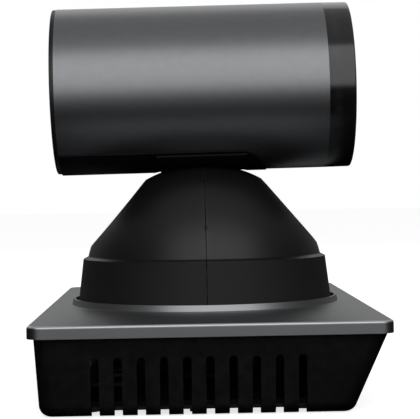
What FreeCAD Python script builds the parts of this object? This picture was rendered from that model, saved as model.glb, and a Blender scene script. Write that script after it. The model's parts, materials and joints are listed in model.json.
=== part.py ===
import FreeCAD, Part
import math
import os

# Pan-tilt-zoom conference camera, millimetres.
# +X is the way the lens looks, +Z is up, and Y runs along the wide base.
# The origin is the middle of the footprint, on the surface that the rubber feet stand on.

V = FreeCAD.Vector

# ---------------------------------------------------------------- base
PLATE_X = 144.5
PLATE_Y = 240.0
PLATE_TOP = 36.7
PLATE_EDGE = 5.15
PLATE_SKIN = 2.5
PLATE_CORNER = 5.5
PLATE_ROUND = 1.2
HOLE_R = 60.6
LIP_RISE = 2.6
LIP_CREST = 1.0
LIP_FLANK = 0.7
POCKET_X = 63.5
POCKET_Y = 112.0
TRAY_TOP = PLATE_TOP - PLATE_EDGE
TRAY_RIM = 0.25
TRAY_WALL = 2.2
TRAY_REAR = (-68.05, -69.95)
TRAY_FRONT = (56.4, 70.45)
TRAY_SIDE = (115.25, 117.3)
TRAY_CORNER = 6.0
TRAY_BOTTOM_ROUND = 4.5
SLOT_COUNT = 10
SLOT_PITCH = 9.09
SLOT_WIDTH = 3.3
SLOT_TOP = 23.7
SLOT_MIDDLE = -4.85
BOTTOM_Z = 2.0
BOTTOM_SHEET = 1.5
FLOOR_Z = BOTTOM_Z + BOTTOM_SHEET
BOTTOM_X = (-62.0, 50.0)
BOTTOM_Y = 109.5
FLANGE_WIDTH = 6.0
FLANGE_THICK = 2.0
FOOT_R = 6.0
FOOT_INSET = 12.0
TRIPOD_BORE_R = 3.2
TRIPOD_INSERT_R = 6.0
TRIPOD_DEPTH = 8.5
BRACKET_SPACING = 70.0
BRACKET_BORE_R = 2.1
BRACKET_INSERT_R = 3.5
BRACKET_DEPTH = 4.5
WINDOW_WIDTH = 46.0
WINDOW_HEIGHT = 13.0
WINDOW_THICK = 1.6
BOARD_Z = 9.0
BOARD_THICK = 1.6
BOARD_X = (-64.0, -32.0)
BOARD_HALF_Y = 90.0
BOARD_NOTCH_R = 6.0
CHIP_RISE = 1.6
SMALL_CHIP_RISE = 1.2
SMALL_CHIP_Y = (-70.0, -56.0, 54.0)
CAPACITOR_R = 4.0
CAPACITOR_RISE = 11.0
CAPACITOR_Y = (72.0, 84.0)
SHEET_CORNER = 5.0
SHEET_PLAY = 0.2
WINDOW_CORNER = 3.0
WINDOW_PLAY = 0.1

# ---------------------------------------------------------------- ports on the rear wall
PORT_MOUTH = -69.0
PORT_BACK = -52.0
PORT_BASE = BOARD_Z + BOARD_THICK
DC_Y = 78.0
DC_SIZE = 10.0
DC_BORE_R = 3.2
DC_PIN_R = 1.0
DC_DEPTH = 10.0
SERIAL_Y = (30.0, 48.0)
SERIAL_SIZE = 14.0
SERIAL_BORE_R = 5.2
SERIAL_DEPTH = 8.0
# Name, place along Y, outer width, outer height, mouth width, mouth height.
BOX_PORTS = (
    ("lan_port", 0.0, 16.0, 13.5, 12.0, 9.0),
    ("usb_port", -26.0, 14.5, 7.4, 12.4, 5.0),
    ("hdmi_port", -52.0, 16.6, 6.8, 14.2, 4.6),
)
PORT_PLAY = 0.4
PORT_SOCKET = 11.0
REAR_WALL_X = (-75.0, -60.0)

# ---------------------------------------------------------------- pan drive
SPINDLE_R = 7.9
SPINDLE_BORE = 5.0
RACE_GAP = (9.9, 10.3)
RACE_R = 13.0
RACE_WIDTH = 5.0
RACE_Z = (14.0, 20.5)
PEDESTAL_R = 16.0
PEDESTAL_TOP = 26.0
PEDESTAL_FLANGE_R = 26.0
TURNTABLE_R = 55.0
TURNTABLE_Z = (30.8, 33.8)
PAN_GEAR_R = 34.0
PAN_GEAR_Z = (27.3, 30.3)
PAN_TEETH = 72
PAN_PINION_TEETH = 14
PAN_PINION_R = 6.5
PAN_CENTRES = 41.0
PAN_MOTOR_R = 14.0
PAN_MOTOR_Z = (8.0, 24.0)
PAN_TOOTH_SPACE = 0.6
PAN_PINION_SPACE = 0.55
SHAFT_R = 1.5
SHAFT_PLAY = 0.1
SHAFT_SOCKET = 6.0
SHAFT_GRIP = 5.5

# ---------------------------------------------------------------- neck
DOME_Z = 45.5
DOME_R = 56.0
SHELL = 2.2
FLAT_DISTANCE = 51.3
FLAT_POLAR = 49.6
FLAT_HOLLOW_R = 350.0
BAND_BOTTOM = (59.6, 34.2)
BAND_TOP = (56.7, 57.6)
LEDGE_TOP = 58.7
SEAM = 0.3
SLOT_HALF_Y = 8.0
SLOT_POLAR = 37.0
NOTCH_Z = 72.2
LUG_R = 51.0
LUG_THICK = 3.2
LUG_ANGLES = (45.0, 135.0, 225.0, 315.0)
LUG_BOSS_R = 5.0
LUG_WEB_R = 3.0
LUG_WEB_REACH = 1.13
NOTCH_Y = 49.6
SCREW_HOLE_R = 1.5
SCREW_R = 1.4
SCREW_HEAD_R = 2.6
SCREW_OVERLAP = 0.5
FAR = 80.0

# ---------------------------------------------------------------- tilt drive
REST_TILT = 0.8
ARM_X = 5.0
ARM_Y = 7.0
ARM_HUB_R = 8.0
TILT_SHAFT_R = 3.0
TILT_SHAFT_Y = 19.0
BUSHING_PLAY = 0.05
BUSHING_R = 5.0
BRACKET_Y = (13.0, 16.0)
BRACKET_HALF_X = 9.0
SECTOR_R = 26.0
SECTOR_Y = (9.0, 12.0)
SECTOR_POLAR = (26.0, 94.0)
SECTOR_PITCH = 2.5
SECTOR_SLOT_X = (14.0, 28.0)
SECTOR_SLOT_PLAY = 0.8
TILT_PINION_TEETH = 26
TILT_PINION_R = 4.7
TILT_CENTRES = 31.0
TILT_PINION_POLAR = 60.0
TILT_MOTOR_R = 10.0
TILT_MOTOR_Y = (14.6, 28.0)
SHUTTER_R = (47.0, 48.3)
SHUTTER_HALF_Y = 10.5
SHUTTER_POLAR = 66.0
TILT_TOOTH_SPACE = 0.35
ARM_PLAY = 0.3
ARM_CHANNEL = (3.0, 4.5)
ARM_CHANNEL_START = 12.0
BRACKET_FOOT = 8.0
BRACKET_FOOT_THICK = 2.5

# ---------------------------------------------------------------- barrel
BARREL_Z = 136.63
BARREL_R = 38.6
SLEEVE_WALL = 2.2
REAR_END = -67.1
REAR_JOINT = -65.1
REAR_GROOVE = -66.35
GROOVE = 0.35
SPIGOT = 5.0
SPIGOT_PLAY = 0.1
FRONT_JOINT = 57.8
FRONT_END = 69.8
REAR_CAP_R = 38.4
FRONT_TIP_R = 38.5
BELLY_R = 39.05
BELLY_HALF_Y = 24.2
BELLY_END_X = 18.5
BELLY_END_LENGTH = 12.2
PANEL_GAP = 0.15
SADDLE_R = 40.1
SADDLE_TOP = 105.0
SADDLE_HALF_X = (18.6, 20.9)
DOME_CLEARANCE = 0.5
FRAME_Z = 106.6
FRAME_THICK = 2.5
FRAME_X = (-56.0, 50.0)
FRAME_HALF_Y = 19.0
FLANGE_HALF_X = 16.0
FLANGE_HALF_Y = 14.0
FLANGE_RISE = 3.0
FRAME_WALL = 2.0
FRAME_WALL_RISE = 20.0
INNER_PLAY = 0.2
VIDEO_BOARD_X = -43.0
VIDEO_BOARD_HALF = 22.0
SINK_HALF = 16.0
FIN_HALF = 0.6
FIN_DEPTH = 8.0
FIN_PLACES = (-15.0, -10.0, -5.0, 0.0, 5.0, 10.0, 15.0)

# ---------------------------------------------------------------- lens
HOOD_R = 33.0
HOOD_INNER_R = 21.5
HOOD_BACK = 57.0
LENS_R = 18.0
LENS_RING_X = (50.0, 60.0)
LENS_TUBE_R = 17.0
LENS_TUBE_BORE = 15.0
LENS_TUBE_X = (-8.0, 50.0)
SENSOR_HALF = 15.0
SENSOR_DEPTH = 10.0
SENSOR_BOARD_HALF = 18.0
SENSOR_BOARD_X = -20.0
ROD_R = 1.0
ROD_Y = 12.0
CARRIAGE_R = 14.6
CARRIAGE_LENS_R = 9.5
CARRIAGE_LENS_THICK = 2.5
ZOOM_X = (14.0, 24.0)
FOCUS_X = (-2.0, 5.0)
LENS_SEAT = 5.0
LENS_MOTOR_R = 4.0
LENS_MOTOR_LENGTH = 14.0
LENS_MOTOR_RISE = 9.5
LENS_MOTOR_X = (2.0, 26.0)
MOTOR_SEAT_R = 3.5
MOTOR_SEAT_RISE = 2.0


def box(x0, x1, y0, y1, z0, z1):
    """Block between two corners."""
    return Part.makeBox(x1 - x0, y1 - y0, z1 - z0, V(x0, y0, z0))


def rod(radius, start, end):
    """Cylinder from one centre to another."""
    run = end.sub(start)
    return Part.makeCylinder(radius, run.Length, start, run)


def tube(outer, inner, start, end):
    """Hollow cylinder."""
    return rod(outer, start, end).cut(rod(inner, start, end))


def upright(radius, x, y, z0, z1):
    """Cylinder along Z."""
    return rod(radius, V(x, y, z0), V(x, y, z1))


def ring(outer, inner, x, y, z0, z1):
    """Hollow cylinder along Z."""
    return tube(outer, inner, V(x, y, z0), V(x, y, z1))


def along_x(radius, x0, x1, y=0.0, z=BARREL_Z):
    """Cylinder along X, on the barrel's axis unless told otherwise."""
    return rod(radius, V(x0, y, z), V(x1, y, z))


def tube_x(outer, inner, x0, x1, y=0.0, z=BARREL_Z):
    """Hollow cylinder along X."""
    return along_x(outer, x0, x1, y, z).cut(along_x(inner, x0, x1, y, z))


def across(radius, y0, y1, x=0.0, z=DOME_Z):
    """Cylinder along Y, on the tilt axis unless told otherwise."""
    return rod(radius, V(x, y0, z), V(x, y1, z))


def slab(x0, x1, half_y, z0, z1, corner):
    """Plate with rounded corners, centred on Y."""
    plate = box(x0, x1, -half_y, half_y, z0, z1)
    edges = [e for e in plate.Edges if e.BoundBox.ZLength > (z1 - z0) / 2]
    return plate.makeFillet(corner, edges)


def prism_y(points, half_y):
    """Outline in the XZ plane, drawn out to both sides of Y = 0."""
    corners = [V(x, -half_y, z) for x, z in points]
    face = Part.Face(Part.makePolygon(corners + corners[:1]))
    return face.extrude(V(0, 2 * half_y, 0))


def prism_x(points, x0, x1):
    """Outline in the YZ plane, drawn out along X."""
    corners = [V(x0, y, z) for y, z in points]
    face = Part.Face(Part.makePolygon(corners + corners[:1]))
    return face.extrude(V(x1 - x0, 0, 0))


def turned(points, start, axis):
    """Outline of (distance along the axis, radius) pairs, turned about an axis through start."""
    side = V(0, 0, 1) if abs(axis.x) > 0.5 else V(1, 0, 0)
    corners = [start + axis * along + side * radius for along, radius in points]
    face = Part.Face(Part.makePolygon(corners + corners[:1]))
    return face.revolve(start, axis, 360)


def polar(radius, degrees):
    """Point in the XZ plane at an angle from straight up over the tilt axis."""
    a = math.radians(degrees)
    return (radius * math.sin(a), DOME_Z + radius * math.cos(a))


def wedge(radius, start, end, half_y):
    """Slice about the tilt axis between two angles from straight up."""
    steps = 12
    rim = [polar(radius, start + (end - start) * i / steps) for i in range(steps + 1)]
    return prism_y([(0.0, DOME_Z)] + rim, half_y)


def merge(first, *others):
    """One solid out of several that touch or overlap."""
    return first.fuse(list(others)).removeSplitter()


def group(shapes):
    """Identical pieces that share one node."""
    return Part.makeCompound(shapes)


def save(name, shape):
    shape.exportStep("parts/" + name + ".step")


def at_rest(shape):
    """The head stands a little nose-up at rest, turned about the tilt axis."""
    return shape.rotated(V(0, 0, DOME_Z), V(0, 1, 0), -REST_TILT)


def toothed(disc, radius, count, start, step, cutter):
    """Cuts shallow tooth spaces into the rim of a disc."""
    spaces = [cutter(math.radians(start + step * i), radius) for i in range(count)]
    return disc.cut(spaces)


# ---------------------------------------------------------------- base pieces
def tray_block(inset, bottom, top):
    """The tray's body: a front wall that leans in, and three nearly upright walls."""
    rise = TRAY_TOP - TRAY_RIM

    def at(pair, z):
        return pair[0] + (pair[1] - pair[0]) * (z - TRAY_RIM) / rise

    side = [(at(TRAY_REAR, bottom) + inset, bottom), (at(TRAY_FRONT, bottom) - inset, bottom),
            (at(TRAY_FRONT, top) - inset, top), (at(TRAY_REAR, top) + inset, top)]
    low, high = at(TRAY_SIDE, bottom) - inset, at(TRAY_SIDE, top) - inset
    end = [(-low, bottom), (low, bottom), (high, top), (-high, top)]
    block = prism_y(side, PLATE_Y / 2).common(prism_x(end, -PLATE_X / 2, PLATE_X / 2))
    corners = [e for e in block.Edges if e.BoundBox.ZLength > (top - bottom) / 2]
    return block.makeFillet(TRAY_CORNER - inset, corners)


def front_panel(thick, margin, out):
    """Plate that lies in the leaning front wall, around the middle of it."""
    lean = math.degrees(math.atan2(TRAY_FRONT[1] - TRAY_FRONT[0], TRAY_TOP - TRAY_RIM))
    half_w = WINDOW_WIDTH / 2 + margin
    half_h = WINDOW_HEIGHT / 2 + margin
    plate = box(out - thick, out, -half_w, half_w, -half_h, half_h)
    edges = [e for e in plate.Edges if e.BoundBox.XLength > thick / 2]
    plate = plate.makeFillet(WINDOW_CORNER, edges)
    plate = plate.rotated(V(0, 0, 0), V(0, 1, 0), lean)
    middle = (TRAY_TOP + TRAY_RIM) / 2
    return plate.translated(V((TRAY_FRONT[0] + TRAY_FRONT[1]) / 2, 0, middle))


def port_cut(y, width, z0, z1):
    """Opening through the rear wall."""
    return box(*REAR_WALL_X, y - width / 2, y + width / 2, z0, z1)


def make_base_housing():
    outer = tray_block(0.0, TRAY_RIM, TRAY_TOP)
    lower = [e for e in outer.Edges if e.BoundBox.ZMax < TRAY_RIM + 0.01]
    outer = outer.makeFillet(TRAY_BOTTOM_ROUND, lower)
    upper_room = tray_block(TRAY_WALL, FLOOR_Z + FLANGE_THICK, TRAY_TOP)
    housing = outer.cut(upper_room)
    housing = housing.cut(slab(*BOTTOM_X, BOTTOM_Y, 0.0, FLOOR_Z, SHEET_CORNER))
    opening = slab(BOTTOM_X[0] + FLANGE_WIDTH, BOTTOM_X[1] - FLANGE_WIDTH,
                   BOTTOM_Y - FLANGE_WIDTH, 0.0, TRAY_TOP / 2, SHEET_CORNER)
    housing = housing.cut(opening)
    for i in range(SLOT_COUNT):
        x = SLOT_MIDDLE + (i - (SLOT_COUNT - 1) / 2) * SLOT_PITCH
        for sign in (-1, 1):
            inner, outer_y = sorted((sign * (BOTTOM_Y - 0.1), sign * PLATE_Y / 2))
            half = SLOT_WIDTH / 2
            slot = box(x - half, x + half, inner, outer_y, 0.0, SLOT_TOP - half)
            top = across(half, inner, outer_y, x, SLOT_TOP - half)
            housing = housing.cut(slot.fuse(top))
    housing = housing.cut(front_panel(TRAY_CORNER, WINDOW_PLAY, 1.0))
    cuts = [port_cut(y, w + PORT_PLAY, PORT_BASE - 0.2, PORT_BASE + h + 0.2)
            for _, y, w, h, _, _ in BOX_PORTS]
    cuts.append(port_cut(DC_Y, DC_SIZE + PORT_PLAY, PORT_BASE - 0.2, PORT_BASE + DC_SIZE + 0.2))
    for y in SERIAL_Y:
        cuts.append(port_cut(y, SERIAL_SIZE + PORT_PLAY, PORT_BASE - 0.2, PORT_BASE + SERIAL_SIZE + 0.2))
    housing = housing.cut(cuts)
    return housing.cut([upright(SCREW_HOLE_R, x, y, 0.0, TRAY_TOP / 3) for x, y in screw_places()])


def screw_places():
    """Screws that hold the bottom sheet under the tray's flange."""
    x0, x1 = BOTTOM_X[0] + FLANGE_WIDTH / 2, BOTTOM_X[1] - FLANGE_WIDTH / 2
    y = BOTTOM_Y - FLANGE_WIDTH / 2 - 2.0
    middle = (x0 + x1) / 2
    return [(x0, -y), (x0, y), (x1, -y), (x1, y), (middle, -y - 2.0), (middle, y + 2.0)]


def make_top_plate():
    plate = slab(-PLATE_X / 2, PLATE_X / 2, PLATE_Y / 2, TRAY_TOP, PLATE_TOP, PLATE_CORNER)
    rim = [e for e in plate.Edges if e.BoundBox.ZMin > PLATE_TOP - 0.01]
    plate = plate.makeFillet(PLATE_ROUND, rim)
    crest = HOLE_R + LIP_CREST
    lip = Part.makeCone(crest + LIP_FLANK, crest, LIP_RISE, V(0, 0, PLATE_TOP))
    plate = plate.fuse(lip).removeSplitter()
    pocket = slab(-POCKET_X, POCKET_X, POCKET_Y, TRAY_TOP - 1.0, PLATE_TOP - PLATE_SKIN, PLATE_CORNER)
    plate = plate.cut(pocket)
    return plate.cut(upright(HOLE_R, 0, 0, TRAY_TOP - 1.0, PLATE_TOP + LIP_RISE + 1.0))


def bracket_places():
    """Threaded holes for a wall or ceiling bracket, in a square about the sheet's middle."""
    middle = (BOTTOM_X[0] + BOTTOM_X[1]) / 2
    half = BRACKET_SPACING / 2
    return [(middle + i * half, j * half) for i in (-1, 1) for j in (-1, 1)]


def foot_places():
    xs = (BOTTOM_X[0] + FOOT_INSET, BOTTOM_X[1] - FOOT_INSET)
    y = BOTTOM_Y - FOOT_INSET - 3.0
    return [(x, sign * y) for x in xs for sign in (-1, 1)]


def make_bottom_plate():
    sheet = slab(BOTTOM_X[0] + SHEET_PLAY, BOTTOM_X[1] - SHEET_PLAY, BOTTOM_Y - SHEET_PLAY,
                 BOTTOM_Z, FLOOR_Z, SHEET_CORNER)
    top = FLOOR_Z + 1.0
    holes = [upright(SCREW_HOLE_R, x, y, 0.0, top) for x, y in screw_places()]
    holes.append(upright(TRIPOD_INSERT_R, 0, 0, 0.0, top))
    holes += [upright(BRACKET_INSERT_R, x, y, 0.0, top) for x, y in bracket_places()]
    return sheet.cut(holes)


def make_bottom_screws():
    screws = []
    for x, y in screw_places():
        head = upright(SCREW_HEAD_R, x, y, BOTTOM_Z - 1.2, BOTTOM_Z)
        screws.append(merge(head, upright(SCREW_R, x, y, BOTTOM_Z - SCREW_OVERLAP, FLOOR_Z + FLANGE_THICK)))
    return group(screws)


def make_board():
    board = box(*BOARD_X, -BOARD_HALF_Y, BOARD_HALF_Y, BOARD_Z, PORT_BASE)
    notches = [upright(BOARD_NOTCH_R, x, y, 0.0, TRAY_TOP) for x, y in bracket_places()]
    return board.cut(notches)


def make_board_chips():
    chips = [box(-50.0, -38.0, -8.0, 8.0, PORT_BASE, PORT_BASE + CHIP_RISE)]
    for y in SMALL_CHIP_Y:
        chips.append(box(-44.0, -36.0, y, y + 9.0, PORT_BASE, PORT_BASE + SMALL_CHIP_RISE))
    for y in CAPACITOR_Y:
        chips.append(upright(CAPACITOR_R, -40.0, y, PORT_BASE, PORT_BASE + CAPACITOR_RISE))
    return group(chips)


def make_box_port(y, width, height, mouth_w, mouth_h):
    shell = box(PORT_MOUTH, PORT_BACK, y - width / 2, y + width / 2, PORT_BASE, PORT_BASE + height)
    z = PORT_BASE + height / 2
    mouth = box(PORT_MOUTH - 1, PORT_MOUTH + PORT_SOCKET, y - mouth_w / 2, y + mouth_w / 2,
                z - mouth_h / 2, z + mouth_h / 2)
    return shell.cut(mouth)


def make_dc_jack():
    z = PORT_BASE + DC_SIZE / 2
    body = box(PORT_MOUTH, PORT_BACK, DC_Y - DC_SIZE / 2, DC_Y + DC_SIZE / 2,
               PORT_BASE, PORT_BASE + DC_SIZE)
    body = body.cut(along_x(DC_BORE_R, PORT_MOUTH - 1, PORT_MOUTH + DC_DEPTH, DC_Y, z))
    pin = along_x(DC_PIN_R, PORT_MOUTH + 1.5, PORT_MOUTH + DC_DEPTH + 1, DC_Y, z)
    return merge(body, pin)


def make_serial_ports():
    z = PORT_BASE + SERIAL_SIZE / 2
    ports = []
    for y in SERIAL_Y:
        half = SERIAL_SIZE / 2
        body = box(PORT_MOUTH, PORT_BACK, y - half, y + half, PORT_BASE, PORT_BASE + SERIAL_SIZE)
        ports.append(body.cut(along_x(SERIAL_BORE_R, PORT_MOUTH - 1, PORT_MOUTH + SERIAL_DEPTH, y, z)))
    return group(ports)


def make_pan_pedestal():
    body = ring(PEDESTAL_R, RACE_R, 0, 0, FLOOR_Z, PEDESTAL_TOP)
    flange = ring(PEDESTAL_FLANGE_R, RACE_R, 0, 0, FLOOR_Z, FLOOR_Z + 2.0)
    return merge(body, flange)


def races(outer, inner):
    return group([ring(outer, inner, 0, 0, z, z + RACE_WIDTH) for z in RACE_Z])


def make_pan_motor():
    can = upright(PAN_MOTOR_R, 0, PAN_CENTRES, *PAN_MOTOR_Z)
    top = PAN_MOTOR_Z[1]
    return can.cut(upright(SHAFT_R + SHAFT_PLAY, 0, PAN_CENTRES, top - SHAFT_SOCKET, top))


def make_pan_motor_bracket():
    y0, y1 = PAN_CENTRES - 10.0, PAN_CENTRES + 14.0
    x = PAN_MOTOR_R + 6.0
    top = box(-x, x, y0, y1, PAN_MOTOR_Z[1], PAN_MOTOR_Z[1] + 1.5)
    legs = [box(s * x - 1.0, s * x + 1.0, y0, y1, FLOOR_Z, PAN_MOTOR_Z[1] + 1.5) for s in (-1, 1)]
    bracket = merge(top, *legs)
    return bracket.cut(upright(4.0, 0, PAN_CENTRES, PAN_MOTOR_Z[1] - 1.0, PAN_MOTOR_Z[1] + 2.0))


def make_pan_pinion():
    gear = upright(PAN_PINION_R, 0, PAN_CENTRES, PAN_GEAR_Z[0] - 0.3, PAN_GEAR_Z[1] + 0.2)
    shaft = upright(SHAFT_R, 0, PAN_CENTRES, PAN_MOTOR_Z[1] - SHAFT_GRIP, PAN_GEAR_Z[1])

    def space(a, r):
        x, y = r * math.cos(a), PAN_CENTRES + r * math.sin(a)
        return upright(PAN_PINION_SPACE, x, y, PAN_GEAR_Z[0] - 1.0, PAN_GEAR_Z[1] + 1.0)

    return merge(toothed(gear, PAN_PINION_R, PAN_PINION_TEETH, 0.0,
                         360.0 / PAN_PINION_TEETH, space), shaft)


# ---------------------------------------------------------------- pan pieces
def make_pan_gear():
    disc = ring(PAN_GEAR_R, SPINDLE_R, 0, 0, *PAN_GEAR_Z)

    def space(a, r):
        x, y = r * math.cos(a), r * math.sin(a)
        return upright(PAN_TOOTH_SPACE, x, y, PAN_GEAR_Z[0] - 1, PAN_GEAR_Z[1] + 1)

    return toothed(disc, PAN_GEAR_R, PAN_TEETH, 0.0, 360.0 / PAN_TEETH, space)


def lug_places():
    return [(LUG_R * math.cos(math.radians(a)), LUG_R * math.sin(math.radians(a)))
            for a in LUG_ANGLES]


def make_turntable():
    bottom, top = TURNTABLE_Z[0] - 1.0, TURNTABLE_Z[1] + 1.0
    disc = ring(TURNTABLE_R, SPINDLE_R, 0, 0, *TURNTABLE_Z)
    y0, y1 = SECTOR_Y
    cuts = [box(*SECTOR_SLOT_X, y0 - SECTOR_SLOT_PLAY, y1 + SECTOR_SLOT_PLAY, bottom, top)]
    cuts += [upright(SCREW_HOLE_R, x, y, bottom, top) for x, y in lug_places()]
    return disc.cut(cuts)


def neck_block(inset):
    """Dome over a tapered band, with a slightly hollowed flank on the front and on the rear."""
    low_r, low_z = BAND_BOTTOM
    high_r, high_z = BAND_TOP
    radius = DOME_R - inset
    drop = 1.0 if inset else 0.0
    ledge_r = math.sqrt(radius ** 2 - (LEDGE_TOP - inset - DOME_Z) ** 2)
    points = [V(0, 0, low_z - drop), V(low_r - inset, 0, low_z - drop),
              V(high_r - inset, 0, high_z - inset), V(ledge_r, 0, LEDGE_TOP - inset)]
    mid = math.radians(35.0)
    arc = Part.Arc(points[-1], V(radius * math.sin(mid), 0, DOME_Z + radius * math.cos(mid)),
                   V(0, 0, DOME_Z + radius)).toShape()
    lines = [Part.makeLine(points[i], points[i + 1]) for i in range(3)]
    lines += [arc, Part.makeLine(V(0, 0, DOME_Z + radius), points[0])]
    solid = Part.Face(Part.Wire(lines)).revolve(V(0, 0, 0), V(0, 0, 1), 360)
    for sign in (-1, 1):
        hollow = across(FLAT_HOLLOW_R, -FAR, FAR, 0.0, FLAT_DISTANCE - inset + FLAT_HOLLOW_R)
        hollow = hollow.rotated(V(0, 0, 0), V(0, 1, 0), sign * FLAT_POLAR)
        solid = solid.cut(hollow.translated(V(0, 0, DOME_Z)))
    return solid


def make_neck():
    shell = neck_block(0.0).cut(neck_block(SHELL))
    shell = shell.cut(wedge(FAR, -SLOT_POLAR, SLOT_POLAR, SLOT_HALF_Y))
    lugs = []
    for x, y in lug_places():
        lug = upright(LUG_BOSS_R, x, y, TURNTABLE_Z[1], TURNTABLE_Z[1] + LUG_THICK)
        start = V(x, y, TURNTABLE_Z[1] + LUG_WEB_R)
        web = rod(LUG_WEB_R, start, V(x * LUG_WEB_REACH, y * LUG_WEB_REACH, start.z))
        web = web.common(box(-FAR, FAR, -FAR, FAR, BAND_BOTTOM[1], TURNTABLE_Z[1] + LUG_THICK))
        lugs.append(lug.fuse(web).cut(upright(SCREW_R, x, y, 0.0, LEDGE_TOP)))
    shell = merge(shell, *lugs)
    for y in (-NOTCH_Y, NOTCH_Y):
        shell = shell.cut(box(-0.7, 0.7, y - 1.4, y + 1.4, NOTCH_Z - 0.8, NOTCH_Z + 0.8))
    front = shell.common(box(SEAM / 2, FAR, -FAR, FAR, 0, BARREL_Z))
    rear = shell.common(box(-FAR, -SEAM / 2, -FAR, FAR, 0, BARREL_Z))
    return front, rear


def make_neck_screws():
    screws = []
    for x, y in lug_places():
        head = upright(SCREW_HEAD_R, x, y, TURNTABLE_Z[0] - 2.0, TURNTABLE_Z[0])
        stem = upright(SCREW_R, x, y, TURNTABLE_Z[0] - SCREW_OVERLAP, TURNTABLE_Z[1] + 3.0)
        screws.append(merge(head, stem))
    return group(screws)


def make_tilt_bracket(sign):
    y0, y1 = sorted((sign * BRACKET_Y[0], sign * BRACKET_Y[1]))
    top = across(BRACKET_HALF_X, y0, y1)
    body = box(-BRACKET_HALF_X, BRACKET_HALF_X, y0, y1, TURNTABLE_Z[1], DOME_Z)
    f0, f1 = sorted((sign * BRACKET_Y[1], sign * (BRACKET_Y[1] + BRACKET_FOOT)))
    foot = box(-BRACKET_HALF_X, BRACKET_HALF_X, f0, f1, TURNTABLE_Z[1],
               TURNTABLE_Z[1] + BRACKET_FOOT_THICK)
    bracket = merge(top, body, foot)
    return bracket.cut(across(BUSHING_R, y0 - 1, y1 + 1))


def make_tilt_bushings():
    bore = TILT_SHAFT_R + BUSHING_PLAY
    y0, y1 = BRACKET_Y
    return group([tube(BUSHING_R, bore, V(0, s * y0, DOME_Z), V(0, s * y1, DOME_Z)) for s in (-1, 1)])


def tilt_motor_axis():
    return polar(TILT_CENTRES, TILT_PINION_POLAR)


def make_tilt_motor():
    x, z = tilt_motor_axis()
    y0, y1 = TILT_MOTOR_Y
    return across(TILT_MOTOR_R, y0, y1, x, z).cut(across(SHAFT_R + SHAFT_PLAY, y0, y0 + SHAFT_SOCKET, x, z))


def make_tilt_motor_bracket():
    x, z = tilt_motor_axis()
    y0, y1 = BRACKET_Y[0], TILT_MOTOR_Y[0]
    plate = box(x - 8.0, x + 7.0, y0, y1, TURNTABLE_Z[1], z + 6.0)
    foot = box(x - 8.0, x + 7.0, y1, y1 + BRACKET_FOOT, TURNTABLE_Z[1], TURNTABLE_Z[1] + 2.0)
    return merge(plate, foot).cut(across(3.0, y0 - 1, y1 + 1, x, z))


def make_tilt_pinion():
    x, z = tilt_motor_axis()
    y0, y1 = SECTOR_Y

    def space(a, r):
        return across(TILT_TOOTH_SPACE, y0 - 1, y1 + 1, x + r * math.sin(a), z + r * math.cos(a))

    gear = toothed(across(TILT_PINION_R, y0 - 0.2, y1 + 0.2, x, z), TILT_PINION_R, TILT_PINION_TEETH, 0.0,
                   360.0 / TILT_PINION_TEETH, space)
    return merge(gear, across(SHAFT_R, y0, TILT_MOTOR_Y[0] + SHAFT_GRIP, x, z))


# ---------------------------------------------------------------- tilt pieces
def dome_room():
    """The room that the dome's cap takes inside the head, with clearance."""
    return Part.makeSphere(DOME_R + DOME_CLEARANCE, V(0, 0, DOME_Z))


def arm_block(play, top):
    return box(-ARM_X - play, ARM_X + play, -ARM_Y - play, ARM_Y + play, DOME_Z, top)


def make_tilt_arm():
    hub = across(ARM_HUB_R, -ARM_HUB_R, ARM_HUB_R)
    flange = box(-FLANGE_HALF_X, FLANGE_HALF_X, -FLANGE_HALF_Y, FLANGE_HALF_Y,
                 FRAME_Z - FLANGE_RISE, FRAME_Z)
    arm = merge(hub, arm_block(0.0, FRAME_Z), flange)
    half_x, half_y = ARM_CHANNEL
    arm = arm.cut(box(-half_x, half_x, -half_y, half_y, DOME_Z + ARM_CHANNEL_START, FRAME_Z + 1.0))
    return arm.cut(across(TILT_SHAFT_R, -ARM_HUB_R - 1, ARM_HUB_R + 1))


def make_sector_gear():
    y0, y1 = SECTOR_Y
    middle = (y0 + y1) / 2
    blade = wedge(SECTOR_R + 5.0, SECTOR_POLAR[0], SECTOR_POLAR[1], (y1 - y0) / 2)
    blade = blade.translated(V(0, middle, 0)).common(across(SECTOR_R, y0, y1))
    hub = across(ARM_HUB_R, ARM_HUB_R, y1)
    sector = merge(blade, hub).cut(across(TILT_SHAFT_R, 0, 20))

    def space(a, r):
        return across(TILT_TOOTH_SPACE, y0 - 1, y1 + 1, r * math.sin(a), DOME_Z + r * math.cos(a))

    count = int((SECTOR_POLAR[1] - SECTOR_POLAR[0]) / SECTOR_PITCH)
    return toothed(sector, SECTOR_R, count, SECTOR_POLAR[0] + SECTOR_PITCH / 2, SECTOR_PITCH, space)


def make_slot_shutter():
    inner, outer = SHUTTER_R
    strip = across(outer, -SHUTTER_HALF_Y, SHUTTER_HALF_Y)
    strip = strip.cut(across(inner, -SHUTTER_HALF_Y, SHUTTER_HALF_Y))
    strip = strip.common(wedge(FAR, -SHUTTER_POLAR, SHUTTER_POLAR, SHUTTER_HALF_Y))
    return strip.cut(arm_block(0.0, FRAME_Z))


def belly_plan(margin):
    """Outline of the belly cover seen from below: straight sides and a rounded front end."""
    half = BELLY_HALF_Y - margin
    length = BELLY_END_LENGTH - margin
    z = BARREL_Z - BARREL_R - 5.0
    nose = Part.ArcOfEllipse(Part.Ellipse(V(BELLY_END_X, 0, z), half, length), 0, math.pi).toShape()
    nose = nose.rotated(V(BELLY_END_X, 0, z), V(0, 0, 1), -90)
    first, last = nose.Vertexes[0].Point, nose.Vertexes[-1].Point
    rear = REAR_JOINT + margin
    back = [V(rear, last.y, z), V(rear, first.y, z)]
    lines = [Part.makeLine(last, back[0]), Part.makeLine(back[0], back[1]), Part.makeLine(back[1], first)]
    return Part.Face(Part.Wire([nose] + lines)).extrude(V(0, 0, BARREL_R))


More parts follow.
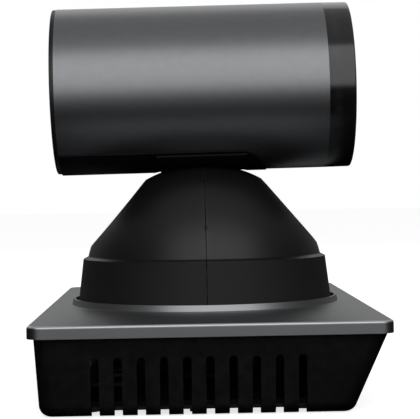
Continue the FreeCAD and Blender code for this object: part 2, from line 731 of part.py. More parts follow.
def make_barrel_sleeve():
    sleeve = tube_x(BARREL_R, BARREL_R - SLEEVE_WALL, REAR_JOINT, FRONT_JOINT)
    return sleeve.cut(belly_plan(0.0))


def make_belly_cover():
    inner = BARREL_R - SLEEVE_WALL + INNER_PLAY
    cover = tube_x(BELLY_R, inner, REAR_JOINT, FRONT_JOINT).common(belly_plan(PANEL_GAP))
    cover = cover.cut(saddle_wedge(0.0))
    return cover.cut([dome_room(), arm_block(ARM_PLAY, FRAME_Z)])


def saddle_wedge(play):
    low, high = SADDLE_HALF_X[0] + play, SADDLE_HALF_X[1] + play
    z = BARREL_Z - SADDLE_R - 1.0
    return prism_y([(-low, z), (low, z), (high, SADDLE_TOP), (-high, SADDLE_TOP)], BELLY_HALF_Y - 0.6)


def make_throat_saddle():
    inner = BARREL_R - SLEEVE_WALL + INNER_PLAY
    block = tube_x(SADDLE_R, inner, -FLANGE_HALF_X * 2, FLANGE_HALF_X * 2).common(saddle_wedge(-0.1))
    return block.cut([dome_room(), arm_block(ARM_PLAY, FRAME_Z)])


def make_rear_cap():
    """Disc that closes the rear, with a spigot inside the sleeve and a fine groove round its rim."""
    spigot = BARREL_R - SLEEVE_WALL - SPIGOT_PLAY
    outline = [(REAR_END + 1.0, 0.0), (REAR_END + 1.0, 33.0), (REAR_END, 34.0), (REAR_END, REAR_CAP_R - 0.3),
               (REAR_END + 0.3, REAR_CAP_R), (REAR_GROOVE, REAR_CAP_R), (REAR_GROOVE, REAR_CAP_R - GROOVE),
               (REAR_GROOVE + GROOVE, REAR_CAP_R - GROOVE), (REAR_GROOVE + GROOVE, REAR_CAP_R),
               (REAR_JOINT, REAR_CAP_R), (REAR_JOINT, spigot), (REAR_JOINT + SPIGOT, spigot),
               (REAR_JOINT + SPIGOT, spigot - 2.0), (REAR_JOINT + 0.6, spigot - 2.0), (REAR_JOINT + 0.6, 0.0)]
    return turned(outline, V(0, 0, BARREL_Z), V(1, 0, 0))


def make_front_ring():
    """Black ring that ends the barrel, with a spigot inside the sleeve and a seat for the hood."""
    spigot = BARREL_R - SLEEVE_WALL - SPIGOT_PLAY
    outline = [(FRONT_JOINT - SPIGOT, spigot - 2.0), (FRONT_JOINT - SPIGOT, spigot),
               (FRONT_JOINT, spigot), (FRONT_JOINT, BARREL_R),
               (FRONT_END - 0.6, FRONT_TIP_R), (FRONT_END - 0.2, FRONT_TIP_R - 0.15),
               (FRONT_END, FRONT_TIP_R - 0.6), (FRONT_END, HOOD_R + 1.5),
               (FRONT_END - 0.8, HOOD_R + 0.1), (FRONT_END - 3.0, HOOD_R + 0.1)]
    return turned(outline, V(0, 0, BARREL_Z), V(1, 0, 0))


def make_lens_hood():
    outline = [(FRONT_END - 1.2, HOOD_R), (FRONT_END - 1.2, HOOD_R - 1.2), (HOOD_BACK + 1.5, HOOD_INNER_R),
               (HOOD_BACK - 0.5, HOOD_INNER_R), (HOOD_BACK - 0.5, HOOD_INNER_R + 3.0),
               (FRONT_END - 3.5, HOOD_R)]
    return turned(outline, V(0, 0, BARREL_Z), V(1, 0, 0))


def make_lens_ring():
    x0, x1 = LENS_RING_X
    outline = [(x0, LENS_TUBE_BORE), (x0, HOOD_INNER_R - 0.2), (x1 - 0.6, HOOD_INNER_R - 0.2),
               (x1, HOOD_INNER_R - 0.8), (x1, LENS_R + 0.8), (x1 - 0.8, LENS_R),
               (x1 - LENS_SEAT, LENS_R), (x1 - LENS_SEAT, LENS_TUBE_BORE)]
    return turned(outline, V(0, 0, BARREL_Z), V(1, 0, 0))


def lens_blank(radius, x0, thick, bulge):
    """Lens with a flat back and a domed front."""
    sphere_r = (radius ** 2 + bulge ** 2) / (2 * bulge)
    ball = Part.makeSphere(sphere_r, V(x0 + thick + bulge - sphere_r, 0, BARREL_Z))
    return along_x(radius, x0, x0 + thick + bulge).common(ball)


def make_front_lens():
    return lens_blank(LENS_R - 0.05, LENS_RING_X[1] - LENS_SEAT, 1.5, 2.6)


def make_lens_tube():
    x0, x1 = LENS_TUBE_X
    tube_body = tube_x(LENS_TUBE_R, LENS_TUBE_BORE, x0, x1)
    foot = box(x0 + 2, x1 - 6, -12.0, 12.0, FRAME_Z + FRAME_THICK, BARREL_Z - 8.0)
    foot = foot.cut(along_x(LENS_TUBE_R - 0.5, x0, x1))
    seat_z = BARREL_Z + LENS_TUBE_R + MOTOR_SEAT_RISE
    seats = [across(MOTOR_SEAT_R, -9.0, 9.0, x, seat_z) for x in LENS_MOTOR_X]
    return merge(tube_body, foot, *seats).cut(along_x(LENS_TUBE_BORE, x0 - 1, x1 + 1))


def make_carriage(x0, x1):
    disc = tube_x(CARRIAGE_R, CARRIAGE_LENS_R, x0, x1)
    return disc.cut([along_x(ROD_R + 0.05, x0 - 1, x1 + 1, s * ROD_Y) for s in (-1, 1)])


def make_guide_rods():
    x0, x1 = LENS_TUBE_X
    return group([along_x(ROD_R, x0, x1, s * ROD_Y) for s in (-1, 1)])


def make_barrel_frame():
    x0, x1 = FRAME_X
    frame = box(x0, x1, -FRAME_HALF_Y, FRAME_HALF_Y, FRAME_Z, FRAME_Z + FRAME_THICK)
    wall = box(x0, x0 + FRAME_WALL, -FRAME_HALF_Y, FRAME_HALF_Y, FRAME_Z, BARREL_Z + FRAME_WALL_RISE)
    return merge(frame, wall)


def square_x(half, x0, x1):
    """Square block centred on the barrel's axis."""
    return box(x0, x1, -half, half, BARREL_Z - half, BARREL_Z + half)


def make_heat_sink():
    x0 = FRAME_X[0] + FRAME_WALL
    x1 = x0 + 2.0
    z0, z1 = BARREL_Z - SINK_HALF, BARREL_Z + SINK_HALF
    back = box(x0, x1, -SINK_HALF, SINK_HALF, z0, z1)
    fins = [box(x1, x1 + FIN_DEPTH, y - FIN_HALF, y + FIN_HALF, z0, z1) for y in FIN_PLACES]
    return merge(back, *fins)


def make_video_board():
    return box(VIDEO_BOARD_X, VIDEO_BOARD_X + BOARD_THICK, -VIDEO_BOARD_HALF, VIDEO_BOARD_HALF,
               FRAME_Z + FRAME_THICK, BARREL_Z + VIDEO_BOARD_HALF)


def make_lens_motor(x0):
    return along_x(LENS_MOTOR_R, x0, x0 + LENS_MOTOR_LENGTH, 0.0, BARREL_Z + LENS_TUBE_R + LENS_MOTOR_RISE)


def main():
    os.makedirs("parts", exist_ok=True)

    base = {
        "base_housing": make_base_housing(),
        "top_plate": make_top_plate(),
        "bottom_plate": make_bottom_plate(),
        "tripod_insert": ring(TRIPOD_INSERT_R, TRIPOD_BORE_R, 0, 0, BOTTOM_Z, BOTTOM_Z + TRIPOD_DEPTH),
        "bracket_inserts": group([ring(BRACKET_INSERT_R, BRACKET_BORE_R, x, y, BOTTOM_Z,
                                       BOTTOM_Z + BRACKET_DEPTH) for x, y in bracket_places()]),
        "rubber_feet": group([upright(FOOT_R, x, y, 0.0, BOTTOM_Z) for x, y in foot_places()]),
        "bottom_screws": make_bottom_screws(),
        "ir_window": front_panel(WINDOW_THICK, -WINDOW_PLAY, 0.0),
        "main_board": make_board(),
        "board_chips": make_board_chips(),
        "dc_jack": make_dc_jack(),
        "serial_ports": make_serial_ports(),
        "pan_pedestal": make_pan_pedestal(),
        "pan_outer_races": races(RACE_R, RACE_GAP[1]),
        "pan_motor": make_pan_motor(),
        "pan_motor_bracket": make_pan_motor_bracket(),
    }
    for name, y, width, height, mouth_w, mouth_h in BOX_PORTS:
        base[name] = make_box_port(y, width, height, mouth_w, mouth_h)

    front_shell, rear_shell = make_neck()
    pan = {
        "pan_spindle": ring(SPINDLE_R, SPINDLE_BORE, 0, 0, RACE_Z[0] - 0.5, TURNTABLE_Z[1]),
        "pan_inner_races": races(RACE_GAP[0], SPINDLE_R),
        "pan_gear": make_pan_gear(),
        "turntable": make_turntable(),
        "neck_front_shell": front_shell,
        "neck_rear_shell": rear_shell,
        "neck_screws": make_neck_screws(),
        "tilt_bracket_right": make_tilt_bracket(-1),
        "tilt_bracket_left": make_tilt_bracket(1),
        "tilt_bushings": make_tilt_bushings(),
        "tilt_motor": make_tilt_motor(),
        "tilt_motor_bracket": make_tilt_motor_bracket(),
        "pan_pinion": make_pan_pinion(),
        "tilt_pinion": make_tilt_pinion(),
    }

    x0, x1 = ZOOM_X
    f0, f1 = FOCUS_X
    lens_x = (x0 + x1) / 2 - CARRIAGE_LENS_THICK
    head = {
        "tilt_arm": make_tilt_arm(),
        "tilt_shaft": across(TILT_SHAFT_R, -TILT_SHAFT_Y, TILT_SHAFT_Y),
        "sector_gear": make_sector_gear(),
        "slot_shutter": make_slot_shutter(),
        "throat_saddle": make_throat_saddle(),
        "belly_cover": make_belly_cover(),
        "barrel_sleeve": make_barrel_sleeve(),
        "rear_cap": make_rear_cap(),
        "front_ring": make_front_ring(),
        "lens_hood": make_lens_hood(),
        "lens_ring": make_lens_ring(),
        "front_lens": make_front_lens(),
        "lens_tube": make_lens_tube(),
        "guide_rods": make_guide_rods(),
        "zoom_carriage": make_carriage(x0, x1),
        "zoom_lens": lens_blank(CARRIAGE_LENS_R, lens_x, CARRIAGE_LENS_THICK, 1.6),
        "focus_carriage": make_carriage(f0, f1),
        "focus_lens": lens_blank(CARRIAGE_LENS_R, f0 + 1.5, 2.0, 1.4),
        "sensor_block": square_x(SENSOR_HALF, LENS_TUBE_X[0] - SENSOR_DEPTH, LENS_TUBE_X[0]),
        "sensor_board": square_x(SENSOR_BOARD_HALF, SENSOR_BOARD_X, SENSOR_BOARD_X + BOARD_THICK),
        "video_board": make_video_board(),
        "heat_sink": make_heat_sink(),
        "barrel_frame": make_barrel_frame(),
        "zoom_motor": make_lens_motor(LENS_MOTOR_X[1]),
        "focus_motor": make_lens_motor(LENS_MOTOR_X[0]),
    }

    for name, shape in {**base, **pan}.items():
        save(name, shape)
    for name, shape in head.items():
        save(name, at_rest(shape))


main()
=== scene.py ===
"""Looks of a pan-tilt-zoom conference camera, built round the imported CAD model. Lengths are in metres."""

import json
import math

import bmesh
import bpy
from mathutils import Matrix, Vector


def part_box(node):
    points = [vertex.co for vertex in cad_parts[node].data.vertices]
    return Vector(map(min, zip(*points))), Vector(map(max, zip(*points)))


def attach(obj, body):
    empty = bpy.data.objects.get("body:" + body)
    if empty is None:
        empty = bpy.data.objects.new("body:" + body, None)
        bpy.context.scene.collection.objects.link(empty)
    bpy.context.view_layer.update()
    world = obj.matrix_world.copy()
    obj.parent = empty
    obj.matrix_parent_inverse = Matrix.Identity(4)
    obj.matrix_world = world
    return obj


MM = 0.001

# ---------------------------------------------------------------- camera and light
CAMERA_PLACE = (-0.0119, -0.6884, 0.0880)
CAMERA_YAW = 0.02173
CAMERA_PITCH = -0.0121
CAMERA_ROLL = -0.0164
CAMERA_LENS = 125.3
FLOOR_SIZE = 12.0
FLOOR_TONE = 0.86
FLOOR_GLOW = 0.75
FLOOR_DRIFT = 0.03
FLOOR_BLOTCH = 3.0
WORLD_BEHIND = 0.20
WORLD_SIDES = 0.05
WORLD_OVERHEAD = 0.32
BEHIND_RANGE = (0.2, 0.95)
OVERHEAD_RANGE = (0.35, 0.95)
HORIZON_RANGE = (-0.03, 0.03)
KEY_PLACE = (0.15, -1.06, 0.58)
KEY_SIZE = (1.90, 1.22)
KEY_WATTS = 10.0
BACK_PLACE = (-0.10, 1.05, 0.85)
BACK_SIZE = (1.90, 0.90)
BACK_WATTS = 3.6

LIT_POINT = (0.0, 0.0, 0.10)
CLIP_START = 0.01
CLIP_END = 100.0
WHITE = (1.0, 1.0, 1.0, 1.0)

# the darker, rougher band at the foot of the neck
BAND_TOP = 57.7 * MM
BAND_FADE = 0.4 * MM
BAND_COLOUR = (0.003, 0.003, 0.0033)
BAND_ROUGHNESS = 0.70

# edges rounded for looks
EDGE_ANGLE = math.radians(40.0)
EDGE_STEPS = 2
SADDLE_EDGE = 0.35 * MM
BELLY_EDGE = 0.15 * MM
TONGUE_EDGE = 0.2 * MM

# contacts and tongues in the connectors, measured from a port's outer face
CONTACT_START = 1.5 * MM
CONTACT_END = 9.0 * MM
CONTACT_THICK = 0.25 * MM
CONTACT_SHARE = 0.6
LAN_CONTACTS = 8
TONGUE_START = 1.2 * MM
TONGUE_LENGTH = 10.0 * MM

# pins in the round control connectors
PINS = 8
PIN_FIRST = math.radians(20.0)
PIN_STEP = math.radians(40.0)
PIN_CIRCLE = 3.0 * MM
PIN_DEPTH = 5.2 * MM
PIN_LENGTH = 6.0 * MM
PIN_ROOT = 0.45 * MM
PIN_TIP = 0.35 * MM
PIN_SIDES = 12

# light baffles behind the front lens, placed from the middle of the lens ring
TUBE_BORE = 14.9 * MM
BAFFLES = 3
BAFFLE_START = -9.6 * MM
BAFFLE_PITCH = 1.8 * MM
BAFFLE_THICK = 0.6 * MM
BAFFLE_REACH = 1.2 * MM
BAFFLE_GROWTH = 0.5 * MM
BAFFLE_LIP = 0.1 * MM
TURN_STEPS = 96

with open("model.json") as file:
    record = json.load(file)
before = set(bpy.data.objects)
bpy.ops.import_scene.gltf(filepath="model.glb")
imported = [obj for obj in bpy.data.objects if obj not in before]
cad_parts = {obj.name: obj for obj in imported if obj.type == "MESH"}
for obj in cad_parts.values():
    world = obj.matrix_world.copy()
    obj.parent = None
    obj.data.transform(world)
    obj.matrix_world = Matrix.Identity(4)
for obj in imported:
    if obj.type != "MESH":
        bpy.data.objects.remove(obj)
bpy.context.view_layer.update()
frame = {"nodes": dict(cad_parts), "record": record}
nodes = frame["nodes"]
JOINTS = {joint["name"]: joint for joint in frame["record"]["behaviour"]["joints"]}


# ---------------------------------------------------------------- materials
def new_material(name):
    """Material with an empty principled surface, and its tree."""
    material = bpy.data.materials.new(name)
    material.use_nodes = True
    tree = material.node_tree
    return material, tree, tree.nodes["Principled BSDF"]


def add(tree, kind, **inputs):
    """Node of a kind, with some of its inputs set by name."""
    node = tree.nodes.new(kind)
    for key, value in inputs.items():
        node.inputs[key].default_value = value
    return node


def noise(tree, scale, detail=2.0, roughness=0.5):
    """Noise in object space; scale is in features per metre."""
    place = tree.nodes.new("ShaderNodeTexCoord").outputs["Object"]
    node = add(tree, "ShaderNodeTexNoise", Scale=scale, Detail=detail, Roughness=roughness)
    tree.links.new(place, node.inputs["Vector"])
    return node.outputs["Fac"]


def spread(tree, value, low, high, to_low, to_high):
    """Maps a stretch of a value to another, clamped."""
    node = tree.nodes.new("ShaderNodeMapRange")
    for i, number in enumerate((low, high, to_low, to_high)):
        node.inputs[i + 1].default_value = number
    tree.links.new(value, node.inputs[0])
    return node.outputs[0]


def blend_colours(tree, factor, first, second):
    """Colour between two, each a tuple or a socket."""
    node = tree.nodes.new("ShaderNodeMix")
    node.data_type = "RGBA"
    tree.links.new(factor, node.inputs[0])
    for socket, colour in ((node.inputs[6], first), (node.inputs[7], second)):
        if isinstance(colour, tuple):
            socket.default_value = (*colour, 1.0)
        else:
            tree.links.new(colour, socket)
    return node.outputs[2]


def times(tree, first, second):
    """Product of two sockets."""
    node = tree.nodes.new("ShaderNodeMath")
    node.operation = "MULTIPLY"
    tree.links.new(first, node.inputs[0])
    tree.links.new(second, node.inputs[1])
    return node.outputs[0]


def surface(name, dark, light, rough, metal=0.0, specular=0.5, blotch=45.0, grain=1400.0,
            bump=0.15, depth=0.00003, edge=None, edge_share=0.5, coat=0.0, coat_rough=0.15, band=None,
            rim=None, highlight_axis="Z"):
    """Procedural finish: slow colour drift, and fine grain in roughness and relief.

    edge is the colour of worn edges; band is a height below which the colour is darker and rougher; rim is
    a painted highlight, a lighter colour laid where a rounded edge turns from the given axis to the side.
    """
    material, tree, shader = new_material(name)
    link = tree.links.new
    drift = noise(tree, blotch, detail=4.0)
    fine = noise(tree, grain, detail=3.0, roughness=0.6)
    mixed = times(tree, spread(tree, drift, 0.3, 0.7, 0.4, 1.0), spread(tree, fine, 0.3, 0.7, 0.5, 1.0))
    colour = blend_colours(tree, mixed, dark, light)
    if edge:
        pointed = tree.nodes.new("ShaderNodeNewGeometry").outputs["Pointiness"]
        worn = times(tree, spread(tree, pointed, 0.52, 0.60, 0.0, edge_share),
                     spread(tree, noise(tree, 260.0, detail=5.0), 0.35, 0.65, 0.2, 1.0))
        colour = blend_colours(tree, worn, colour, edge)
    # painted highlight: the rim colour is laid on rounded edges, where the normal turns from the axis to
    # the side
    if rim:
        facing = tree.nodes.new("ShaderNodeSeparateXYZ")
        link(tree.nodes.new("ShaderNodeNewGeometry").outputs["Normal"], facing.inputs[0])
        along = tree.nodes.new("ShaderNodeMath")
        along.operation = "ABSOLUTE"
        link(facing.outputs[highlight_axis], along.inputs[0])
        rounded = times(tree, spread(tree, along.outputs[0], 0.20, 0.45, 0.0, 1.0),
                        spread(tree, along.outputs[0], 0.88, 0.97, 1.0, 0.0))
        colour = blend_colours(tree, rounded, colour, rim)
    roughness = spread(tree, fine, 0.25, 0.75, rough[0], rough[1])
    if band:
        height = tree.nodes.new("ShaderNodeSeparateXYZ")
        link(tree.nodes.new("ShaderNodeTexCoord").outputs["Object"], height.inputs[0])
        below_band = spread(tree, height.outputs["Z"], band - BAND_FADE, band, 1.0, 0.0)
        colour = blend_colours(tree, below_band, colour, BAND_COLOUR)
        roughness = blend_colours(tree, below_band, roughness, (BAND_ROUGHNESS,) * 3)
    link(colour, shader.inputs["Base Color"])
    link(roughness, shader.inputs["Roughness"])
    relief = add(tree, "ShaderNodeBump", Strength=bump, Distance=depth)
    link(fine, relief.inputs["Height"])
    link(relief.outputs["Normal"], shader.inputs["Normal"])
    shader.inputs["Metallic"].default_value = metal
    shader.inputs["Specular IOR Level"].default_value = specular
    shader.inputs["Coat Weight"].default_value = coat
    shader.inputs["Coat Roughness"].default_value = coat_rough
    return material


def glass_surface():
    """Coated lens glass: dark and clear face on, with a violet bloom that turns green at the rim."""
    material, tree, shader = new_material("coated_glass")
    link = tree.links.new
    edge_on = add(tree, "ShaderNodeLayerWeight", Blend=0.30).outputs["Facing"]
    link(blend_colours(tree, edge_on, (0.42, 0.40, 0.56), (0.10, 0.26, 0.20)), shader.inputs["Base Color"])
    smudge = noise(tree, 220.0, detail=4.0)
    link(spread(tree, smudge, 0.35, 0.75, 0.01, 0.05), shader.inputs["Roughness"])
    shader.inputs["Transmission Weight"].default_value = 1.0
    shader.inputs["IOR"].default_value = 1.6
    shader.inputs["Specular IOR Level"].default_value = 0.75
    shader.inputs["Specular Tint"].default_value = (0.50, 0.38, 1.0, 1.0)
    return material


MATERIALS = {
    "grey_paint": surface("metallic_grey_paint", (0.220, 0.224, 0.232), (0.248, 0.252, 0.260),
                          (0.36, 0.42), metal=1.0, specular=0.5, blotch=14.0, grain=3000.0,
                          bump=0.10, depth=0.00001, edge=(0.30, 0.31, 0.32), edge_share=0.2),
    "black_satin": surface("satin_black_shell", (0.0045, 0.0045, 0.0050), (0.0075, 0.0075, 0.0080),
                           (0.38, 0.48), specular=0.46, blotch=30.0, grain=1800.0, bump=0.12,
                           edge=(0.030, 0.030, 0.031), edge_share=0.3, band=BAND_TOP),
    "black_matte": surface("matte_black_tray", (0.0010, 0.0010, 0.0011), (0.0022, 0.0022, 0.0023),
                           (0.50, 0.62), specular=0.10, blotch=35.0, grain=1500.0, bump=0.30,
                           depth=0.00006, edge=(0.012, 0.012, 0.013), edge_share=0.5),
    "black_gloss": surface("gloss_black_connector", (0.010, 0.010, 0.011), (0.022, 0.022, 0.024),
                           (0.18, 0.30), blotch=90.0, grain=2200.0, bump=0.08,
                           edge=(0.06, 0.06, 0.06)),
    "ring_black": surface("satin_black_ring", (0.005, 0.005, 0.006), (0.010, 0.010, 0.011), (0.14, 0.20),
                          specular=0.7, blotch=30.0, grain=2600.0, bump=0.10,
                          edge=(0.07, 0.07, 0.072), edge_share=0.6),
    "smoked_window": surface("smoked_red_window", (0.012, 0.002, 0.004), (0.030, 0.004, 0.008),
                             (0.05, 0.10), blotch=60.0, grain=700.0, bump=0.02,
                             coat=0.5, coat_rough=0.04),
    "steel": surface("zinc_plated_steel", (0.42, 0.42, 0.43), (0.62, 0.62, 0.61), (0.24, 0.40), metal=1.0,
                     blotch=120.0, grain=2400.0, bump=0.12, edge=(0.8, 0.8, 0.8)),
    "dark_steel": surface("blackened_steel", (0.045, 0.046, 0.050), (0.090, 0.092, 0.097), (0.36, 0.52),
                          metal=0.8, blotch=40.0, grain=1500.0, bump=0.2, edge=(0.25, 0.25, 0.26)),
    "black_coat": surface("black_powder_coat", (0.0030, 0.0030, 0.0034), (0.0060, 0.0060, 0.0066),
                          (0.55, 0.70), specular=0.25, blotch=60.0, grain=1300.0, bump=0.45, depth=0.00006,
                          edge=(0.05, 0.05, 0.05), edge_share=0.4),
    "alloy": surface("cast_alloy", (0.50, 0.51, 0.52), (0.70, 0.71, 0.72), (0.30, 0.48), metal=1.0,
                     blotch=80.0, grain=1200.0, bump=0.2, edge=(0.85, 0.85, 0.86)),
    "brass": surface("turned_brass", (0.52, 0.36, 0.12), (0.72, 0.53, 0.22), (0.20, 0.36), metal=1.0,
                     blotch=150.0, grain=2400.0, bump=0.1, edge=(0.9, 0.75, 0.4)),
    "rubber": surface("black_rubber", (0.008, 0.008, 0.008), (0.020, 0.020, 0.020), (0.70, 0.90),
                      specular=0.2, blotch=90.0, grain=1600.0, bump=0.4, depth=0.00008,
                      edge=(0.05, 0.05, 0.05)),
    # circuit board green, coloured darker than the board's own as painted shade inside the base
    "board": surface("shade_darkened_green_board", (0.0008, 0.0060, 0.0030), (0.0020, 0.0120, 0.0060), (0.30, 0.42),
                     specular=0.3, blotch=160.0, grain=900.0, bump=0.12, edge=(0.010, 0.012, 0.006)),
    "chips": surface("component_black", (0.010, 0.010, 0.011), (0.024, 0.024, 0.025), (0.42, 0.60),
                     blotch=200.0, grain=2000.0, bump=0.2, edge=(0.08, 0.08, 0.08)),
    "nylon": surface("white_nylon", (0.60, 0.59, 0.54), (0.76, 0.75, 0.70), (0.40, 0.55),
                     blotch=80.0, grain=1200.0, bump=0.15, edge=(0.85, 0.84, 0.80)),
    "lens_glass": glass_surface(),
}
# saddle finish, with a painted highlight along its slanted side edges (the rim colour)
SADDLE_BLACK = surface("satin_black_saddle_painted_highlight", (0.0030, 0.0030, 0.0033), (0.0050, 0.0050, 0.0054),
                       (0.55, 0.65), specular=0.12, blotch=40.0, grain=1800.0, bump=0.12,
                       rim=(0.055, 0.055, 0.057), highlight_axis="X")
# plate paint, with a painted highlight line along the rounded top edge (the rim colour)
PLATE_PAINT = surface("metallic_grey_plate_paint_painted_highlight", (0.195, 0.199, 0.207), (0.222, 0.226, 0.234),
                      (0.36, 0.43), metal=1.0, specular=0.5, blotch=14.0, grain=3000.0,
                      bump=0.10, depth=0.00001,
                      rim=(0.62, 0.63, 0.64))


def dress(node, slot_name):
    """Gives a CAD node one of the finishes."""
    data = nodes[node].data
    data.materials.clear()
    data.materials.append(MATERIALS[slot_name])


for part in frame["record"]["subparts"]:
    dress(part["node"], part["material_slot"])
nodes["top_plate"].data.materials[0] = PLATE_PAINT
nodes["throat_saddle"].data.materials[0] = SADDLE_BLACK


# ---------------------------------------------------------------- small pieces on the CAD parts
def new_piece(name, body, slot_name, build):
    """Mesh piece that rides on a body and takes a slot's finish."""
    shape = bmesh.new()
    build(shape)
    bmesh.ops.recalc_face_normals(shape, faces=shape.faces)
    mesh = bpy.data.meshes.new(name)
    shape.to_mesh(mesh)
    shape.free()
    piece = bpy.data.objects.new(name, mesh)
    bpy.context.scene.collection.objects.link(piece)
    mesh.materials.append(MATERIALS[slot_name])
    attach(piece, body)
    return piece


def soften(piece, width):
    """Rounds the sharp edges of a piece."""
    bevel = piece.modifiers.new("soft_edges", "BEVEL")
    bevel.width = width
    bevel.segments = EDGE_STEPS
    bevel.limit_method = "ANGLE"
    bevel.angle_limit = EDGE_ANGLE


def block(shape, low, high):
    """Adds a block between two corners."""
    middle = (Vector(low) + Vector(high)) / 2
    size = Vector(high) - Vector(low)
    place = Matrix.Translation(middle) @ Matrix.Diagonal((*size, 1.0))
    bmesh.ops.create_cube(shape, size=1.0, matrix=place)


def turned_x(shape, outline):
    """Adds a closed outline of (x, radius) pairs, turned about the X axis."""
    rows = []
    for i in range(TURN_STEPS):
        angle = 2 * math.pi * i / TURN_STEPS
        rows.append([shape.verts.new((x, r * math.cos(angle), r * math.sin(angle))) for x, r in outline])
    for i in range(TURN_STEPS):
        row, following = rows[i], rows[(i + 1) % TURN_STEPS]
        for j in range(len(outline)):
            k = (j + 1) % len(outline)
            shape.faces.new((row[j], row[k], following[k], following[j]))


def contact_rows(name, port, count, slot_name, width, rise):
    """Row of flat contacts in a connector's mouth, at a height above the port's middle."""
    low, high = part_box(port)
    middle_y = (low[1] + high[1]) / 2
    contact_z = (low[2] + high[2]) / 2 + rise
    pitch = width / count
    half = CONTACT_SHARE / 2 * pitch

    def build(shape):
        for i in range(count):
            y = middle_y + (i - (count - 1) / 2) * pitch
            block(shape, (low[0] + CONTACT_START, y - half, contact_z),
                  (low[0] + CONTACT_END, y + half, contact_z + CONTACT_THICK))
    new_piece(name, "base", slot_name, build)


def tongue(name, port, width, thick, rise):
    """Plastic tongue on the back wall of a connector's mouth, at a height above the port's middle."""
    low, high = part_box(port)
    start = low[0] + TONGUE_START
    middle_y = (low[1] + high[1]) / 2
    middle_z = (low[2] + high[2]) / 2 + rise

    def build(shape):
        block(shape, (start, middle_y - width / 2, middle_z - thick / 2),
              (start + TONGUE_LENGTH, middle_y + width / 2, middle_z + thick / 2))
    soften(new_piece(name, "base", "black_gloss", build), TONGUE_EDGE)


def serial_pins():
    """Pins in the two round control connectors."""
    low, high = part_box("serial_ports")
    middle_z = (low[2] + high[2]) / 2
    radius = (high[2] - low[2]) / 2
    for label, middle_y in (("in", low[1] + radius), ("out", high[1] - radius)):
        def build(shape, middle_y=middle_y):
            for i in range(PINS):
                angle = PIN_FIRST + i * PIN_STEP
                y = middle_y + PIN_CIRCLE * math.sin(angle)
                z = middle_z + PIN_CIRCLE * math.cos(angle)
                turn = Matrix.Rotation(math.pi / 2, 4, "Y")
                place = Matrix.Translation((low[0] + PIN_DEPTH, y, z)) @ turn
                bmesh.ops.create_cone(shape, cap_ends=True, segments=PIN_SIDES, radius1=PIN_ROOT,
                                      radius2=PIN_TIP, depth=PIN_LENGTH, matrix=place)
        new_piece("serial_pins_" + label, "base", "brass", build)


def lens_baffles():
    """Light baffles behind the front lens, each opening wider than the one behind it."""
    low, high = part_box("lens_ring")
    middle = (low + high) / 2
    axis = Vector(JOINTS["zoom"]["axis"])
    tilt = Matrix.Translation(middle) @ Matrix.Rotation(-math.atan2(axis.z, axis.x), 4, "Y")

    def build(shape):
        for i in range(BAFFLES):
            back = BAFFLE_START + i * BAFFLE_PITCH
            front = back + BAFFLE_THICK
            opening = TUBE_BORE - BAFFLE_REACH - BAFFLE_GROWTH * (BAFFLES - i)
            lip = (back + BAFFLE_THICK / 2, opening - BAFFLE_LIP)
            turned_x(shape, [(back, TUBE_BORE), (front, TUBE_BORE), (front, opening),
                             lip, (back, opening)])
        bmesh.ops.transform(shape, matrix=tilt, verts=shape.verts)
    new_piece("lens_baffles", "camera_head", "ring_black", build)


contact_rows("lan_contacts", "lan_port", LAN_CONTACTS, "brass", width=9.0 * MM, rise=3.4 * MM)
tongue("usb_tongue", "usb_port", width=11.4 * MM, thick=1.8 * MM, rise=1.0 * MM)
tongue("hdmi_tongue", "hdmi_port", width=11.0 * MM, thick=1.2 * MM, rise=0.4 * MM)
serial_pins()
lens_baffles()
soften(nodes["throat_saddle"], SADDLE_EDGE)
soften(nodes["belly_cover"], BELLY_EDGE)


# ---------------------------------------------------------------- stage, light and camera
def make_floor():
    """Plain pale floor."""
    mesh = bpy.data.meshes.new("floor")
    half = FLOOR_SIZE / 2
    mesh.from_pydata([(-half, -half, 0), (half, -half, 0), (half, half, 0), (-half, half, 0)], [],
                     [(0, 1, 2, 3)])
    floor = bpy.data.objects.new("floor", mesh)
    floor.visible_diffuse = False
    floor.visible_glossy = False
    bpy.context.scene.collection.objects.link(floor)
    material, tree, shader = new_material("pale_floor")
    dark = (FLOOR_TONE,) * 3
    light = (FLOOR_TONE + FLOOR_DRIFT,) * 3
    tone = blend_colours(tree, noise(tree, FLOOR_BLOTCH), dark, light)
    tree.links.new(tone, shader.inputs["Base Color"])
    shader.inputs["Roughness"].default_value = 0.9
    shader.inputs["Specular IOR Level"].default_value = 0.1
    shader.inputs["Emission Color"].default_value = WHITE
    shader.inputs["Emission Strength"].default_value = FLOOR_GLOW
    mesh.materials.append(material)


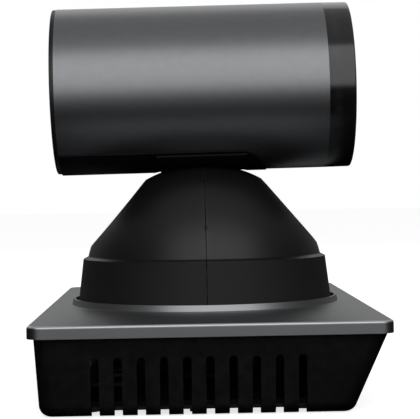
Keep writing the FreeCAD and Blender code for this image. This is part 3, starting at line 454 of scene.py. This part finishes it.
def make_world():
    """White for the camera; for the object, glow from beyond it and from overhead, dim at the sides."""
    world = bpy.data.worlds.new("studio")
    world.use_nodes = True
    tree = world.node_tree
    tree.nodes.clear()
    link = tree.links.new
    output = tree.nodes.new("ShaderNodeOutputWorld")
    seen = add(tree, "ShaderNodeBackground", Color=WHITE, Strength=1.0)
    direction = tree.nodes.new("ShaderNodeTexCoord").outputs["Generated"]
    axes = tree.nodes.new("ShaderNodeSeparateXYZ")
    link(direction, axes.inputs[0])
    lit = add(tree, "ShaderNodeBackground", Color=WHITE)
    behind = spread(tree, axes.outputs["Y"], *BEHIND_RANGE, WORLD_SIDES, WORLD_BEHIND)
    overhead = spread(tree, axes.outputs["Z"], *OVERHEAD_RANGE, 0.0, WORLD_OVERHEAD)
    above_floor = spread(tree, axes.outputs["Z"], *HORIZON_RANGE, 0.0, 1.0)
    glow = tree.nodes.new("ShaderNodeMath")
    link(behind, glow.inputs[0])
    link(overhead, glow.inputs[1])
    link(times(tree, glow.outputs[0], above_floor), lit.inputs["Strength"])
    mix = tree.nodes.new("ShaderNodeMixShader")
    link(tree.nodes.new("ShaderNodeLightPath").outputs["Is Camera Ray"], mix.inputs[0])
    link(lit.outputs[0], mix.inputs[1])
    link(seen.outputs[0], mix.inputs[2])
    link(mix.outputs[0], output.inputs[0])
    bpy.context.scene.world = world


def area_light(name, place, aim, width, height, watts):
    """Soft rectangular light that faces a point."""
    data = bpy.data.lights.new(name, "AREA")
    data.shape = "RECTANGLE"
    data.size = width
    data.size_y = height
    data.energy = watts
    light = bpy.data.objects.new(name, data)
    light.location = place
    light.visible_camera = False
    light.rotation_mode = "QUATERNION"
    light.rotation_quaternion = (Vector(aim) - Vector(place)).to_track_quat("-Z", "Y")
    bpy.context.scene.collection.objects.link(light)


def make_camera():
    """Low camera on the right-hand side of the object, a little behind its middle."""
    ahead = Vector((math.sin(CAMERA_YAW) * math.cos(CAMERA_PITCH),
                    math.cos(CAMERA_YAW) * math.cos(CAMERA_PITCH), math.sin(CAMERA_PITCH)))
    level_right = Vector((math.cos(CAMERA_YAW), -math.sin(CAMERA_YAW), 0.0))
    level_up = level_right.cross(ahead)
    right = level_right * math.cos(CAMERA_ROLL) + level_up * math.sin(CAMERA_ROLL)
    up = level_up * math.cos(CAMERA_ROLL) - level_right * math.sin(CAMERA_ROLL)
    camera = bpy.data.objects.new("camera", bpy.data.cameras.new("camera"))
    turn = Matrix((right, up, -ahead)).transposed()
    camera.matrix_world = Matrix.Translation(CAMERA_PLACE) @ turn.to_4x4()
    camera.data.lens = CAMERA_LENS
    camera.data.clip_start = CLIP_START
    camera.data.clip_end = CLIP_END
    bpy.context.scene.collection.objects.link(camera)
    bpy.context.scene.camera = camera


def make_lights():
    """Large key light on the camera's side and a weaker light behind the object."""
    area_light("key", KEY_PLACE, LIT_POINT, *KEY_SIZE, KEY_WATTS)
    area_light("back", BACK_PLACE, LIT_POINT, *BACK_SIZE, BACK_WATTS)


make_floor()
make_world()
make_lights()
make_camera()
bpy.context.scene.view_settings.view_transform = "Standard"
